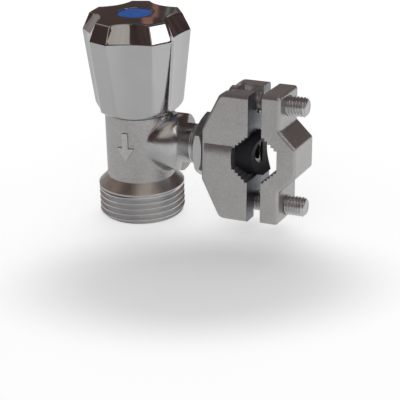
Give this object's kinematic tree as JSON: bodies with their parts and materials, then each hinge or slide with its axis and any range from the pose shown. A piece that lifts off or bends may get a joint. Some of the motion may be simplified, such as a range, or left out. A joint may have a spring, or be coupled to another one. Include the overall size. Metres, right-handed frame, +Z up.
{
  "type": "self-piercing washing machine valve",
  "caption": "Angle valve with a faceted hand wheel and hose thread, on a bolted pipe clamp whose hollow needle pierces the water pipe through a rubber saddle.",
  "frame": {"origin": "centre of the outlet's end face", "axes": "+Z up the stem to the hand wheel, +X along the branch to the pipe clamp, Y along the clamped pipe apart from the clamp's turn of 4.2 degrees about the branch"},
  "size_m": [0.0709, 0.033, 0.0636],
  "materials": {
    "cast_plating": "satin cast, plated",
    "polished_plating": "mirror plated",
    "plated_steel": "bright plated",
    "bare_steel": "ground",
    "brass": "turned",
    "black_rubber": "matt moulded",
    "fibre": "pressed fibre",
    "blue_plastic": "gloss"
  },
  "bodies": {
    "clamp": {"clamp_block": "cast_plating", "saddle_gasket": "black_rubber"},
    "needle": {"piercing_needle": "bare_steel"},
    "valve": {"valve_body": "cast_plating", "headwork_bonnet": "brass", "bonnet_gasket": "fibre"},
    "jumper": {"jumper": "brass", "seat_washer": "black_rubber", "washer_nut": "brass"},
    "hand_wheel": {"handwheel_knob": "polished_plating", "index_disc": "blue_plastic", "knob_screw": "plated_steel", "spindle": "brass", "spindle_seal_lower": "black_rubber", "spindle_seal_upper": "black_rubber", "spindle_circlip": "bare_steel"},
    "nut": {"lock_nut": "plated_steel"},
    "jaw": {"clamp_jaw": "cast_plating"},
    "upper_screw": {"upper_clamp_screw": "plated_steel"},
    "lower_screw": {"lower_clamp_screw": "plated_steel"}
  },
  "joints": [
    {"name": "needle_feed", "type": "slide", "parent": "clamp", "child": "needle", "axis": [1, 0, 0], "range_m": [-0.00151, 0.00301]},
    {"name": "valve_turn", "type": "hinge", "parent": "needle", "child": "valve", "pos_m": [0.0242, 0, 0.0242], "axis": [1, 0, 0], "range_deg": [-432, 864]},
    {"name": "spindle_lift", "type": "slide", "parent": "valve", "child": "jumper", "axis": [0, 0, 1], "range_m": [0, 0.0026]},
    {"name": "knob_turn", "type": "hinge", "parent": "jumper", "child": "hand_wheel", "pos_m": [0, 0, 0.04], "axis": [0, 0, 1], "range_deg": [0, 624.5]},
    {"name": "nut_slide", "type": "slide", "parent": "clamp", "child": "nut", "axis": [1, 0, 0], "range_m": [-0.0028, 0]},
    {"name": "jaw_slide", "type": "slide", "parent": "clamp", "child": "jaw", "axis": [1, 0, 0], "range_m": [-0.0015, 0.006]},
    {"name": "upper_screw_turn", "type": "hinge", "parent": "clamp", "child": "upper_screw", "pos_m": [0.033, 0.00113, 0.03956], "axis": [1, 0, 0], "range_deg": [-2161, 541]},
    {"name": "lower_screw_turn", "type": "hinge", "parent": "clamp", "child": "lower_screw", "pos_m": [0.033, -0.00113, 0.00884], "axis": [1, 0, 0], "range_deg": [-2161, 541]}
  ],
  "couplings": [
    {"joint": "needle_feed", "follows": "valve_turn", "m_per_rad": 0.00019894},
    {"joint": "knob_turn", "follows": "spindle_lift", "rad_per_m": 4188.8},
    {"joint": "upper_screw_turn", "follows": "jaw_slide", "rad_per_m": -6283.2},
    {"joint": "lower_screw_turn", "follows": "jaw_slide", "rad_per_m": -6283.2}
  ]
}
